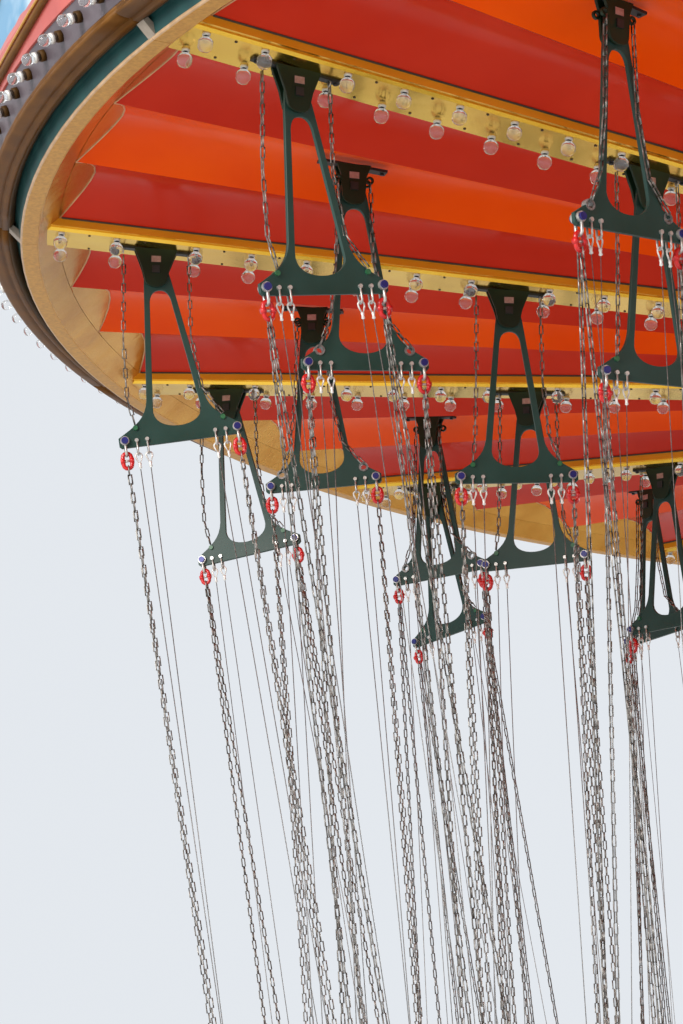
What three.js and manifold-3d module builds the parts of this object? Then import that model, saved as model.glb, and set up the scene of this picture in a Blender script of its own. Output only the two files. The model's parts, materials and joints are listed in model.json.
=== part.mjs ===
// Chair swing ride with sixteen sweeps and forty-eight hanging chairs.
// Millimetres, +Z up, origin at the centre of the feet on the ground.
import * as THREE from "three";
import { mergeVertices } from "three/addons/utils/BufferGeometryUtils.js";
import Module from "manifold-3d";

const wasm = await Module();
wasm.setup();

// Driving dimensions of the sweeps and the rows of chairs
const SWEEPS = 16;
const PITCH = (2 * Math.PI) / SWEEPS;
const OUTER_ROW_R = 6000;
const MIDDLE_ROW_R = 5310;
const INNER_ROW_R = 4400;
const OUTER_LEAN = THREE.MathUtils.degToRad(9.5); // how far a swing hangs in from plumb
const MIDDLE_LEAN = THREE.MathUtils.degToRad(4.5);
const INNER_LEAN = THREE.MathUtils.degToRad(2.5);
const HANGER_PLANE_Z = 6200; // underside of a sweep above the outer row
const SWEEP_SLOPE = 0.0875; // the sweeps fall towards the hub
const SWEEP_WIDTH = 300;
const SWEEP_DEPTH = 170;
const SWEEP_ROOT_R = 800;
const SWEEP_TIP_R = 6440;
const HUB_RING_R = 980;
const HUB_RING_INNER_R = 760;
const HUB_RING_DEPTH = 300;
const SEAT_GAP = 0.3; // clearance between pieces that rest on each other

// Hanger: swings about its pin in a bracket of two cheeks
const PIN_DROP = 103;
const PIN_R = 12;
const PIN_CLEARANCE = 0.3;
const PLATE_THICKNESS = 18;
const CHEEK_GAP = 15; // from the middle of the hanger plate to a cheek
const CHEEK_THICKNESS = 14;
const CHEEK_TOP_HALF = 99;
const MIDDLE_CHEEK_TOP_HALF = 76;
const CHEEK_FOOT_HALF = 42;
const CHEEK_FOOT = 75; // how far a cheek reaches below the pin
const HEAD_R = 55;
const BAR_HALF = 278;
const BAR_BOTTOM = 795; // below the pin
const CHAIN_HALF_SPACING = 253;
const CHAIN_R = 8;
const LINK_DEPTH = 190; // shackle and coupling under the bar, where both chains start

// Chair
const PAN_TOP_Z = 560; // above the ground, when the chair hangs plumb
const CHAIR_SIDE = 22;
const CHAIR_BACK_H = 400;
const CHAIR_ARM_H = 215;
const CHAIR_FRONT = 210; // from the middle of the chair
const CHAIR_REAR = 190;
const CHAIR_HEEL = 245; // the arm panels and the rear chains reach behind the back
const PAN_THICKNESS = 45;

// Ceiling: three coves in each bay
const COVES = 3;
const COVE_EDGE = 50; // above the underside of the sweeps
const COVE_JOINT = 54;
const COVE_CROWN = 155;
const COVE_SHOULDER = 0.7; // share of the rise that a cove has halfway from its joint to its crown
const CEILING_TOP = 185;
const CEILING_INNER_R = 1250;
const LUNETTE_R = 6320; // from here out the coves slope down to the rim
const CEILING_OUTER_R = 6438;
const TIE_RING_HALF = 40;
const TIE_RING_Z = [6340, 6400];
const TIE_POST = 60; // square post that carries a middle bracket
const TIE_STOOL = [100, 120]; // block that stands on a sweep
const MIDDLE_PLATE = [300, 110, 14];
const MIDDLE_PLATE_TOP = 140; // above the underside of the sweeps

// Rings round the rim, as flats across the sides of a 48-sided polygon
const RIM_SIDES = 48;
const RIM_RING_R = 6600;
const RIM_LIP_R = 6532; // from here in the ring slopes up to the sweeps
const RIM_LIP_RISE = 70;
const RIM_BOTTOM_Z = 6208;
const RIM_TOP_Z = 6426;
const RIM_SEAT_R = 6380; // the cornice reaches in over the ring to here
const RECESS_TOP_Z = 6335;
const CORNICE_INNER_R = 6638;
const CORNICE_BOTTOM_Z = 6270;
const CORNICE_R = 6765;
const BAND_FOOT = [6750, 6332]; // the lamp band leans out from here
const BAND_TOP_R = 6802;
const CORNICE_TOP_Z = 6450;
const BOARD_INNER_R = 6740;
const BOARD_R = 6850;
const BOARD_FOOT_Z = 6550; // the boards lean out up to here, and stand upright above
const BOARD_TOP_Z = 7400;
const EAVE_R = 6890;
const ROOF_CENTRE_Z = 8700;
const ROOF_THICKNESS = 40;

// Centre column
const FEET = 8;
const FOOT_R = 2700;
const FOOT_WIDTH = 220;
const FOOT_BEAM_Z = [60, 300];
const PAD_SIZE = 520;
const PAD_HEIGHT = 60.3;
const DRUM_R = 1500;
const DRUM_TOP_Z = 1150;
const MAST_R = 560;
const MAST_TOP_Z = 5000;
const BEARING_R = 700;
const BEARING_TOP_Z = 5110;
const HUB_R = 700;
const HUB_TOP_Z = 8640;
const COLUMN_SIDES = 24;

function sweepZ(r) {
  return HANGER_PLANE_Z + SWEEP_SLOPE * (r - OUTER_ROW_R);
}

// A closed geometry as a solid that can be joined and cut.
function solidOf(geometry) {
  const bare = new THREE.BufferGeometry();
  bare.setAttribute("position", geometry.getAttribute("position"));
  bare.setIndex(geometry.index);
  const merged = mergeVertices(bare, 1e-3);
  return new wasm.Manifold(
    new wasm.Mesh({
      numProp: 3,
      vertProperties: merged.attributes.position.array,
      triVerts: new Uint32Array(merged.index.array),
    }),
  );
}

function geometryOf(solid) {
  const mesh = solid.getMesh();
  const geometry = new THREE.BufferGeometry();
  geometry.setAttribute("position", new THREE.BufferAttribute(mesh.vertProperties, 3));
  geometry.setIndex(new THREE.BufferAttribute(mesh.triVerts, 1));
  geometry.computeVertexNormals();
  return geometry;
}

function joined(solids) {
  return solids.reduce((all, next) => all.add(next));
}

// A plate whose outline lies in the XZ plane, centred on y.
function plateXZ(outline, thickness, y = 0) {
  const shape = new THREE.Shape(outline.map(([x, z]) => new THREE.Vector2(x, z)));
  const geometry = new THREE.ExtrudeGeometry(shape, { depth: thickness, bevelEnabled: false });
  geometry.translate(0, 0, -thickness / 2);
  geometry.rotateX(Math.PI / 2);
  geometry.translate(0, y, 0);
  return geometry;
}

// A plate whose outline lies in the YZ plane, centred on x.
function plateYZ(outline, thickness, x = 0) {
  const geometry = plateXZ(outline, thickness);
  geometry.rotateZ(Math.PI / 2);
  geometry.translate(x, 0, 0);
  return geometry;
}

function box(size, centre) {
  return new THREE.BoxGeometry(...size).translate(...centre);
}

// A body turned about Z from a closed profile of [radius across flats, z].
function turned(profile, sides) {
  const toCorner = 1 / Math.cos(Math.PI / sides);
  const points = profile.map(([r, z]) => new THREE.Vector2(r * toCorner, z));
  const onAxis = profile[0][0] === 0;
  if (!onAxis) {
    points.push(points[0].clone());
  }
  const geometry = new THREE.LatheGeometry(points, sides);
  geometry.rotateX(Math.PI / 2);
  geometry.rotateZ(Math.PI / sides);
  return geometry;
}

function around(geometry, angle) {
  return geometry.clone().rotateZ(angle);
}

function mirrored(half) {
  const other = half.map(([x, z]) => [-x, z]);
  return [...half, ...other.reverse()];
}

// The hanger's flat plate, with its tall opening and the hole for the pin, about the pin.
function hangerSolid() {
  const outline = mirrored([
    [38, 44],
    [62, -45],
    [133, -600],
    [185, -690],
    [BAR_HALF, -748],
    [BAR_HALF, -BAR_BOTTOM],
  ]);
  const opening = mirrored([
    [14, -88],
    [48, -135],
    [109, -640],
    [80, -719],
  ]);
  const hole = PIN_R + PIN_CLEARANCE;
  const pinHole = mirrored([
    [hole, hole],
    [hole, -hole],
  ]);
  const cutters = [opening, pinHole].map((cut) => solidOf(plateXZ(cut, 2 * PLATE_THICKNESS)));
  const plate = solidOf(plateXZ(outline, PLATE_THICKNESS));
  return cutters.reduce((rest, cutter) => rest.subtract(cutter), plate);
}

// One side of a chair: the arm panel and the two taut chains that meet under the end of the bar.
function chairSideSolid(side, panTop) {
  const top = -BAR_BOTTOM + 30;
  const armTop = panTop + CHAIR_ARM_H;
  const outline = [
    [-CHAIN_R, top],
    [-CHAIR_HEEL, armTop],
    [-CHAIR_HEEL, panTop - PAN_THICKNESS],
    [CHAIR_FRONT, panTop - PAN_THICKNESS],
    [CHAIR_FRONT, armTop],
    [CHAIN_R, top],
  ];
  const gap = [
    [0, -BAR_BOTTOM - LINK_DEPTH],
    [-CHAIR_HEEL + 2 * CHAIN_R, armTop],
    [CHAIR_FRONT - 2 * CHAIN_R, armTop],
  ];
  const x = side * CHAIN_HALF_SPACING;
  const panel = solidOf(plateYZ(outline, CHAIR_SIDE, x));
  return panel.subtract(solidOf(plateYZ(gap, 2 * CHAIR_SIDE, x)));
}

// Hanger, chains and chair as one swinging body, about its pin.
function swingSolid(pinZ) {
  const panTop = PAN_TOP_Z - pinZ;
  const shell = [
    [-CHAIR_REAR + 5, panTop - PAN_THICKNESS + 5],
    [CHAIR_FRONT - 5, panTop - PAN_THICKNESS + 5],
    [CHAIR_FRONT - 5, panTop],
    [-CHAIR_REAR + 35, panTop],
    [-CHAIR_REAR + 15, panTop + CHAIR_BACK_H],
    [-CHAIR_REAR - 10, panTop + CHAIR_BACK_H],
  ];
  return joined([
    hangerSolid(),
    chairSideSolid(-1, panTop),
    chairSideSolid(1, panTop),
    solidOf(plateYZ(shell, 2 * CHAIN_HALF_SPACING - CHAIR_SIDE + 6)),
  ]);
}

// Two cheeks and the pin between them, about the pin. The cheeks run up by rise into what carries them.
function bracketGeometries(rise, topHalf) {
  const cheek = mirrored([
    [topHalf, rise],
    [CHEEK_FOOT_HALF, -CHEEK_FOOT],
  ]);
  const middle = CHEEK_GAP + CHEEK_THICKNESS / 2;
  const pin = new THREE.CylinderGeometry(PIN_R, PIN_R, 2 * middle, 4);
  return [
    plateXZ(cheek, CHEEK_THICKNESS, middle),
    plateXZ(cheek, CHEEK_THICKNESS, -middle),
    pin,
  ];
}

// Underside plate, bracket and post of a middle hanger, about its pin.
function middleBracketGeometries(underside) {
  const [length, width, thickness] = MIDDLE_PLATE;
  const rise = (SWEEP_SLOPE * length) / 2;
  const plate = plateXZ(
    [
      [-length / 2, PIN_DROP - rise],
      [length / 2, PIN_DROP + rise],
      [length / 2, PIN_DROP + rise + thickness],
      [-length / 2, PIN_DROP - rise + thickness],
    ],
    width,
  );
  const postTop = TIE_RING_Z[0] + 20 - (underside + MIDDLE_PLATE_TOP - MIDDLE_PLATE[2] - PIN_DROP);
  const post = box([TIE_POST, TIE_POST, postTop - PIN_DROP], [0, 0, (postTop + PIN_DROP) / 2]);
  return [...bracketGeometries(PIN_DROP + 11, MIDDLE_CHEEK_TOP_HALF), plate, post];
}

function pinZOf(row) {
  if (row.between) {
    return sweepZ(row.r) + MIDDLE_PLATE_TOP - MIDDLE_PLATE[2] - PIN_DROP;
  }
  return sweepZ(row.r) - PIN_DROP;
}

const ROWS = [
  { name: "outer", r: OUTER_ROW_R, lean: OUTER_LEAN, between: false },
  { name: "middle", r: MIDDLE_ROW_R, lean: MIDDLE_LEAN, between: true },
  { name: "inner", r: INNER_ROW_R, lean: INNER_LEAN, between: false },
];

function sweepGeometry() {
  const outline = [
    [SWEEP_ROOT_R, sweepZ(SWEEP_ROOT_R)],
    [SWEEP_TIP_R, sweepZ(SWEEP_TIP_R)],
    [SWEEP_TIP_R, sweepZ(SWEEP_TIP_R) + SWEEP_DEPTH],
    [SWEEP_ROOT_R, sweepZ(SWEEP_ROOT_R) + SWEEP_DEPTH],
  ];
  return plateXZ(outline, SWEEP_WIDTH);
}

function stoolBox(clearance) {
  const cornerR = MIDDLE_ROW_R / Math.cos(PITCH / 2);
  const low = sweepZ(cornerR) + SWEEP_DEPTH - 40;
  const high = TIE_RING_Z[0] + 20;
  const size = [TIE_STOOL[0] + 2 * clearance, TIE_STOOL[1] + 2 * clearance, high - low];
  return box(size, [cornerR, 0, (low + high) / 2]);
}

function sweepFrameSolid() {
  const hubLow = sweepZ(HUB_RING_R) - 60;
  const pieces = [
    turned(
      [
        [HUB_RING_INNER_R, hubLow],
        [HUB_RING_R, hubLow],
        [HUB_RING_R, hubLow + HUB_RING_DEPTH],
        [HUB_RING_INNER_R, hubLow + HUB_RING_DEPTH],
      ],
      COLUMN_SIDES,
    ),
    turned(
      [
        [MIDDLE_ROW_R - TIE_RING_HALF, TIE_RING_Z[0]],
        [MIDDLE_ROW_R + TIE_RING_HALF, TIE_RING_Z[0]],
        [MIDDLE_ROW_R + TIE_RING_HALF, TIE_RING_Z[1]],
        [MIDDLE_ROW_R - TIE_RING_HALF, TIE_RING_Z[1]],
      ],
      SWEEPS,
    ).rotateZ(PITCH / 2),
  ].map(solidOf);
  for (let k = 0; k < SWEEPS; k++) {
    const here = [sweepGeometry(), stoolBox(0)];
    for (const row of ROWS.filter((r) => !r.between)) {
      const bracket = bracketGeometries(PIN_DROP + 40, CHEEK_TOP_HALF);
      here.push(...bracket.map((g) => g.translate(row.r, 0, pinZOf(row))));
    }
    pieces.push(...here.map((g) => solidOf(around(g, k * PITCH))));
    const row = ROWS[1];
    for (const piece of middleBracketGeometries(sweepZ(row.r))) {
      piece.translate(row.r, 0, pinZOf(row));
      pieces.push(solidOf(around(piece, (k + 0.5) * PITCH)));
    }
  }
  return joined(pieces);
}

// Heights of the coves across a bay, above the underside of the sweeps, from one sweep to the next.
function coveHeights() {
  const heights = [];
  for (let cove = 0; cove < COVES; cove++) {
    const near = cove === 0 ? COVE_EDGE : COVE_JOINT;
    const far = cove === COVES - 1 ? COVE_EDGE : COVE_JOINT;
    const shoulder = (foot) => foot + COVE_SHOULDER * (COVE_CROWN - foot);
    heights.push(near, shoulder(near), COVE_CROWN, shoulder(far));
  }
  return [...heights, COVE_EDGE];
}

// The ceiling steps up over each sweep, arches three times across each bay, and slopes down to the rim.
function ceilingSolid() {
  const overSweep = SWEEP_DEPTH + SEAT_GAP;
  const heights = [overSweep, ...coveHeights(), overSweep];
  const spans = heights.length - 3;
  const positions = [];
  const loops = [];
  for (const r of [CEILING_INNER_R, LUNETTE_R, CEILING_OUTER_R]) {
    const edge = Math.asin((SWEEP_WIDTH / 2 + 1) / r);
    const places = [];
    for (let k = 0; k < SWEEPS; k++) {
      heights.forEach((h, i) => {
        const share = Math.min(Math.max(i - 1, 0), spans) / spans;
        const low = h === overSweep || r < CEILING_OUTER_R ? h : COVE_EDGE;
        places.push([k * PITCH + edge + (PITCH - 2 * edge) * share, low, h]);
      });
    }
    const ring = (height) =>
      places.map(([angle, low]) => {
        positions.push(r * Math.cos(angle), r * Math.sin(angle), sweepZ(r) + height(low));
        return positions.length / 3 - 1;
      });
    loops.push({
      bottom: ring((low) => low),
      top: ring(() => CEILING_TOP),
      heights: places.map(([, , h]) => h),
    });
  }
  const index = [];
  // Each face between two rings is split from the inner crown to the outer foot of its cove.
  const quads = (a, b, falls = () => false) =>
    a.forEach((v, i) => {
      const j = (i + 1) % a.length;
      if (falls(i, j)) {
        index.push(v, b[i], a[j], b[i], b[j], a[j]);
      } else {
        index.push(v, b[j], a[j], v, b[i], b[j]);
      }
    });
  const [inner, lunette, outer] = loops;
  const falls = (i, j) => outer.heights[j] < outer.heights[i];
  quads(outer.bottom, lunette.bottom, falls);
  quads(lunette.bottom, inner.bottom, falls);
  quads(inner.top, lunette.top);
  quads(lunette.top, outer.top);
  quads(inner.bottom, inner.top);
  quads(outer.top, outer.bottom);
  const geometry = new THREE.BufferGeometry();
  geometry.setAttribute("position", new THREE.Float32BufferAttribute(positions, 3));
  geometry.setIndex(index);
  let ceiling = solidOf(geometry);
  const postHole = box([TIE_POST + 1, TIE_POST + 1, 400], [MIDDLE_ROW_R, 0, TIE_RING_Z[0]]);
  for (let k = 0; k < SWEEPS; k++) {
    ceiling = ceiling.subtract(solidOf(around(stoolBox(0.5), k * PITCH)));
    ceiling = ceiling.subtract(solidOf(around(postHole, (k + 0.5) * PITCH)));
  }
  return ceiling;
}

function baseFrameSolid() {
  const [low, high] = FOOT_BEAM_Z;
  const pieces = [];
  for (let k = 0; k < FEET; k++) {
    const leg = box([FOOT_R, FOOT_WIDTH, high - low], [FOOT_R / 2, 0, (low + high) / 2]);
    const pad = box([PAD_SIZE, PAD_SIZE, PAD_HEIGHT], [FOOT_R - PAD_SIZE / 2, 0, PAD_HEIGHT / 2]);
    pieces.push(...[leg, pad].map((g) => solidOf(around(g, (k * 2 * Math.PI) / FEET))));
  }
  return joined(pieces);
}

const PROFILES = {
  base_drum: [
    [0, FOOT_BEAM_Z[1] + SEAT_GAP],
    [DRUM_R, FOOT_BEAM_Z[1] + SEAT_GAP],
    [DRUM_R, 420],
    [DRUM_R - 60, 450],
    [DRUM_R - 60, DRUM_TOP_Z - 120],
    [DRUM_R, DRUM_TOP_Z - 80],
    [DRUM_R, DRUM_TOP_Z],
    [0, DRUM_TOP_Z],
  ],
  mast: [
    [0, DRUM_TOP_Z + SEAT_GAP],
    [MAST_R + 160, DRUM_TOP_Z + SEAT_GAP],
    [MAST_R + 160, DRUM_TOP_Z + 150],
    [MAST_R, DRUM_TOP_Z + 300],
    [MAST_R, MAST_TOP_Z - 200],
    [MAST_R + 100, MAST_TOP_Z],
    [0, MAST_TOP_Z],
  ],
  slewing_bearing: [
    [400, MAST_TOP_Z + SEAT_GAP],
    [BEARING_R, MAST_TOP_Z + SEAT_GAP],
    [BEARING_R, BEARING_TOP_Z],
    [400, BEARING_TOP_Z],
  ],
  hub_drum: [
    [0, BEARING_TOP_Z + SEAT_GAP],
    [HUB_R, BEARING_TOP_Z + SEAT_GAP],
    [HUB_R + 120, BEARING_TOP_Z + 90],
    [HUB_R + 120, sweepZ(HUB_RING_R) - 60 - SEAT_GAP],
    [HUB_RING_INNER_R - 20, sweepZ(HUB_RING_R) - 60 - SEAT_GAP],
    [HUB_RING_INNER_R - 20, 6500],
    [440, 6700],
    [440, HUB_TOP_Z],
    [0, HUB_TOP_Z],
  ],
  rim_ring: [
    [SWEEP_TIP_R + SEAT_GAP, RIM_BOTTOM_Z + RIM_LIP_RISE],
    [RIM_LIP_R, RIM_BOTTOM_Z],
    [RIM_RING_R, RIM_BOTTOM_Z],
    [RIM_RING_R, RIM_TOP_Z],
    [SWEEP_TIP_R + SEAT_GAP, RIM_TOP_Z],
  ],
  cornice: [
    [RIM_SEAT_R, RIM_TOP_Z + SEAT_GAP],
    [RIM_RING_R + SEAT_GAP, RIM_TOP_Z + SEAT_GAP],
    [RIM_RING_R + 10, RECESS_TOP_Z],
    [CORNICE_INNER_R, RECESS_TOP_Z],
    [CORNICE_INNER_R, CORNICE_BOTTOM_Z + 36],
    [CORNICE_INNER_R + 50, CORNICE_BOTTOM_Z],
    [CORNICE_R - 30, CORNICE_BOTTOM_Z],
    [CORNICE_R, CORNICE_BOTTOM_Z + 22],
    [CORNICE_R, BAND_FOOT[1] - 15],
    BAND_FOOT,
    [BAND_TOP_R, CORNICE_TOP_Z],
    [RIM_SEAT_R, CORNICE_TOP_Z],
  ],
  rounding_boards: [
    [BOARD_INNER_R, CORNICE_TOP_Z + SEAT_GAP],
    [BAND_TOP_R + 10, CORNICE_TOP_Z + SEAT_GAP],
    [BOARD_R, BOARD_FOOT_Z],
    [BOARD_R, BOARD_TOP_Z],
    [BOARD_INNER_R, BOARD_TOP_Z],
  ],
  roof: [
    [450, ROOF_CENTRE_Z - ROOF_THICKNESS],
    [BOARD_INNER_R - 30, BOARD_TOP_Z + SEAT_GAP],
    [EAVE_R, BOARD_TOP_Z + SEAT_GAP],
    [EAVE_R, BOARD_TOP_Z + 50],
    [450, ROOF_CENTRE_Z],
  ],
  finial: [
    [0, HUB_TOP_Z + SEAT_GAP],
    [520, HUB_TOP_Z + ROOF_THICKNESS + 30],
    [520, HUB_TOP_Z + 110],
    [220, HUB_TOP_Z + 200],
    [120, HUB_TOP_Z + 330],
    [210, HUB_TOP_Z + 470],
    [120, HUB_TOP_Z + 620],
    [25, HUB_TOP_Z + 1000],
    [0, HUB_TOP_Z + 1000],
  ],
};

const FINISH = {
  base_frame: [0x5a1512, 0.5, 0.3],
  base_drum: [0x8f2418, 0.45, 0.1],
  mast: [0xb9862f, 0.35, 0.7],
  slewing_bearing: [0x6c6c6e, 0.4, 0.9],
  hub_drum: [0xb9862f, 0.35, 0.7],
  sweep_frame: [0x9c6420, 0.4, 0.6],
  ceiling: [0xc4361a, 0.25, 0.1],
  rim_ring: [0xc99a55, 0.45, 0.5],
  cornice: [0x66401f, 0.4, 0.5],
  rounding_boards: [0xa8321f, 0.5, 0.1],
  roof: [0xa8321f, 0.6, 0.0],
  finial: [0xc99a3f, 0.35, 0.7],
  swing: [0x24463f, 0.45, 0.4],
};

function named(name, geometry, [colour, roughness, metalness]) {
  const material = new THREE.MeshStandardMaterial({ color: colour, roughness, metalness });
  material.name = name;
  const mesh = new THREE.Mesh(geometry, material);
  mesh.name = name;
  return mesh;
}

const ride = new THREE.Group();
const SOLID_NODES = {
  base_frame: baseFrameSolid,
  sweep_frame: sweepFrameSolid,
  ceiling: ceilingSolid,
};
for (const [name, make] of Object.entries(SOLID_NODES)) {
  ride.add(named(name, geometryOf(make()), FINISH[name]));
}
const COLUMN_NODES = ["base_drum", "mast", "slewing_bearing", "hub_drum", "finial"];
for (const [name, profile] of Object.entries(PROFILES)) {
  const sides = COLUMN_NODES.includes(name) ? COLUMN_SIDES : RIM_SIDES;
  ride.add(named(name, turned(profile, sides), FINISH[name]));
}
for (const row of ROWS) {
  const pinZ = pinZOf(row);
  const geometry = geometryOf(swingSolid(pinZ));
  for (let k = 0; k < SWEEPS; k++) {
    const angle = (k + (row.between ? 0.5 : 0)) * PITCH;
    const number = String(k + 1).padStart(2, "0");
    const swing = named(`swing_${row.name}_${number}`, geometry, FINISH.swing);
    swing.position.set(row.r * Math.cos(angle), row.r * Math.sin(angle), pinZ);
    swing.rotation.set(0, row.lean, angle, "ZYX");
    ride.add(swing);
  }
}

export default ride;
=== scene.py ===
"""Chair swing ride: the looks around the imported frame. Metres, +Z up, centre of the feet at the origin."""

import json
from math import asin, atan, atan2, cos, hypot, pi, radians, sin

import bmesh
import bpy
import numpy as np
from mathutils import Matrix, Vector

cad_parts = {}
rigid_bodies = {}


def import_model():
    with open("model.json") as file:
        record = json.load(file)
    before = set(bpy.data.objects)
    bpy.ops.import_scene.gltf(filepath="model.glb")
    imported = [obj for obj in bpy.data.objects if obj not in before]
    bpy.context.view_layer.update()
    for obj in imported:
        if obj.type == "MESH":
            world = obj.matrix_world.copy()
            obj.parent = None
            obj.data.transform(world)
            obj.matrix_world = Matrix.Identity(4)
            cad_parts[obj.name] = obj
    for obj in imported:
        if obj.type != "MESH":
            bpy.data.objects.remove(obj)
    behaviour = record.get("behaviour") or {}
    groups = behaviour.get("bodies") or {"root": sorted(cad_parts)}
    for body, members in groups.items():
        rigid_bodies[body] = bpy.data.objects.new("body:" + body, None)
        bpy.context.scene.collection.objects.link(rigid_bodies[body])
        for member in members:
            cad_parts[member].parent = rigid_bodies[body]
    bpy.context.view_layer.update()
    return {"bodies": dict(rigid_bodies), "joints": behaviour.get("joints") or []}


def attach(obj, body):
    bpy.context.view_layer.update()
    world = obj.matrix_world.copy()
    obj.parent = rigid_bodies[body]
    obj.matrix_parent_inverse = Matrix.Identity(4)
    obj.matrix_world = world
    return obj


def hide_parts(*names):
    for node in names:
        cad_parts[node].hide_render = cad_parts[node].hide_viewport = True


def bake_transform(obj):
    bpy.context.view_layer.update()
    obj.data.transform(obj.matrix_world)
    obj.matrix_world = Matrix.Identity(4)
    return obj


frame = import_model()

TURN = 2 * pi

# Driving dimensions, as in the frame
SWEEPS = 16
PITCH = TURN / SWEEPS
OUTER_ROW_R = 6.0
INNER_ROW_R = 4.4
HANGER_PLANE_Z = 6.2
SWEEP_SLOPE = 0.0875
SWEEP_HALF = 0.15
SWEEP_DEPTH = 0.17
SWEEP_ROOT_R = 0.98
SWEEP_TIP_R = 6.44
COVE_EDGE = 0.05
COVE_JOINT = 0.054
COVE_CROWN = 0.155
COVE_INNER_R = 1.25
CEILING_OUTER_R = 6.438
RING_BOTTOM_Z = 6.208
RING_TOP_Z = 6.426
BAND_FOOT = (6.75, 6.332)
BAND_TOP_R = 6.802
CORNICE_TOP_Z = 6.45
BOARD_INNER_R = 6.74
BOARD_R = 6.85
BOARD_FOOT_Z = 6.55
BOARD_FOOT_SLOPE = 0.38
BOARD_TOP_Z = 7.4
EAVE_R = 6.89
ROOF_CENTRE_R = 0.45
ROOF_CENTRE_Z = 8.7
FINIAL_Z = 8.64
PIN_DROP = 0.103
BAR_HALF = 0.278
BAR_BOTTOM = 0.795
CHAIN_SPACING = 0.253
PAN_Z = 0.56
ARM_RISE = 0.215
CHAIR_FRONT = 0.21
CHAIR_HEEL = -0.245
LEANS = {"outer": radians(9.5), "middle": radians(4.5), "inner": radians(2.5)}

# Camera, from a fit of the hangers' plates and end bolts in the photograph
PHOTO_SIZE = (683, 1024)
CAMERA_AT = (-0.43, -15.77, 1.51)
CAMERA_RIGHT = (0.954, 0.299, 0.006)
CAMERA_FORWARD = (-0.291, 0.927, 0.235)
FOCAL_PIXELS = 3344
SENSOR_MM = 36


def make_camera():
    forward = Vector(CAMERA_FORWARD).normalized()
    up = Vector(CAMERA_RIGHT).cross(forward).normalized()
    right = forward.cross(up)
    data = bpy.data.cameras.new("camera")
    data.sensor_width = SENSOR_MM
    data.lens = FOCAL_PIXELS / max(PHOTO_SIZE) * SENSOR_MM
    data.clip_end = 200
    camera = bpy.data.objects.new("camera", data)
    turn = Matrix((right, up, -forward)).transposed().to_4x4()
    camera.matrix_world = Matrix.Translation(CAMERA_AT) @ turn
    bpy.context.scene.collection.objects.link(camera)
    bpy.context.scene.camera = camera


make_camera()


# Materials

def node_tree(name):
    material = bpy.data.materials.new(name)
    material.use_nodes = True
    tree = material.node_tree
    return material, tree, tree.nodes["Principled BSDF"]


def set_inputs(node, values):
    for name, value in values.items():
        node.inputs[name].default_value = value


def noise(tree, scale, detail=4, stretch=None):
    """A noise in object space, drawn out along an axis by stretch."""
    texture = tree.nodes.new("ShaderNodeTexNoise")
    set_inputs(texture, {"Scale": scale, "Detail": detail})
    source = tree.nodes.new("ShaderNodeTexCoord").outputs["Object"]
    if stretch:
        mapping = tree.nodes.new("ShaderNodeMapping")
        set_inputs(mapping, {"Scale": stretch})
        tree.links.new(source, mapping.inputs["Vector"])
        source = mapping.outputs["Vector"]
    tree.links.new(source, texture.inputs["Vector"])
    return texture.outputs["Fac"]


def ramp(tree, factor, stops):
    node = tree.nodes.new("ShaderNodeValToRGB")
    elements = node.color_ramp.elements
    while len(elements) < len(stops):
        elements.new(0.5)
    for element, (place, colour) in zip(elements, stops):
        element.position = place
        element.color = (*colour, 1)
    tree.links.new(factor, node.inputs["Fac"])
    return node.outputs["Color"]


COLOUR_SPREAD = (0.35, 0.65)  # of the noise, from the first colour to the second
ROUGHNESS_SPREAD = (0.8, 1.25)
COAT_ROUGHNESS = 0.06


def surface(name, first, second, roughness, metallic=0.0, grain=8.0, bump=0.1, bump_scale=60.0,
            coat=0.0, stretch=None, bump_depth=0.002, specular=0.5):
    """Two close colours mixed by a noise, roughness that varies with it, and a fine bump."""
    material, tree, shader = node_tree(name)
    broad = noise(tree, grain, stretch=stretch)
    colour = ramp(tree, broad, list(zip(COLOUR_SPREAD, (first, second))))
    tree.links.new(colour, shader.inputs["Base Color"])
    rough = tree.nodes.new("ShaderNodeMapRange")
    smooth, dull = ROUGHNESS_SPREAD
    set_inputs(rough, {"To Min": roughness * smooth, "To Max": min(1.0, roughness * dull)})
    tree.links.new(broad, rough.inputs["Value"])
    tree.links.new(rough.outputs["Result"], shader.inputs["Roughness"])
    set_inputs(shader, {"Metallic": metallic, "Coat Weight": coat, "Coat Roughness": COAT_ROUGHNESS,
                        "Specular IOR Level": specular})
    if bump:
        node = tree.nodes.new("ShaderNodeBump")
        set_inputs(node, {"Strength": bump, "Distance": bump_depth})
        tree.links.new(noise(tree, bump_scale, 3, stretch), node.inputs["Height"])
        tree.links.new(node.outputs["Normal"], shader.inputs["Normal"])
    return material


def lamp_glass():
    material, tree, shader = node_tree("lamp_glass")
    tint = ramp(tree, noise(tree, 30), [(0.3, (0.93, 0.95, 0.96)), (0.7, (1.0, 1.0, 1.0))])
    tree.links.new(tint, shader.inputs["Base Color"])
    set_inputs(shader, {"Roughness": 0.04, "Transmission Weight": 0.92, "IOR": 1.25, "Coat Weight": 0.4})
    return material


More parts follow.
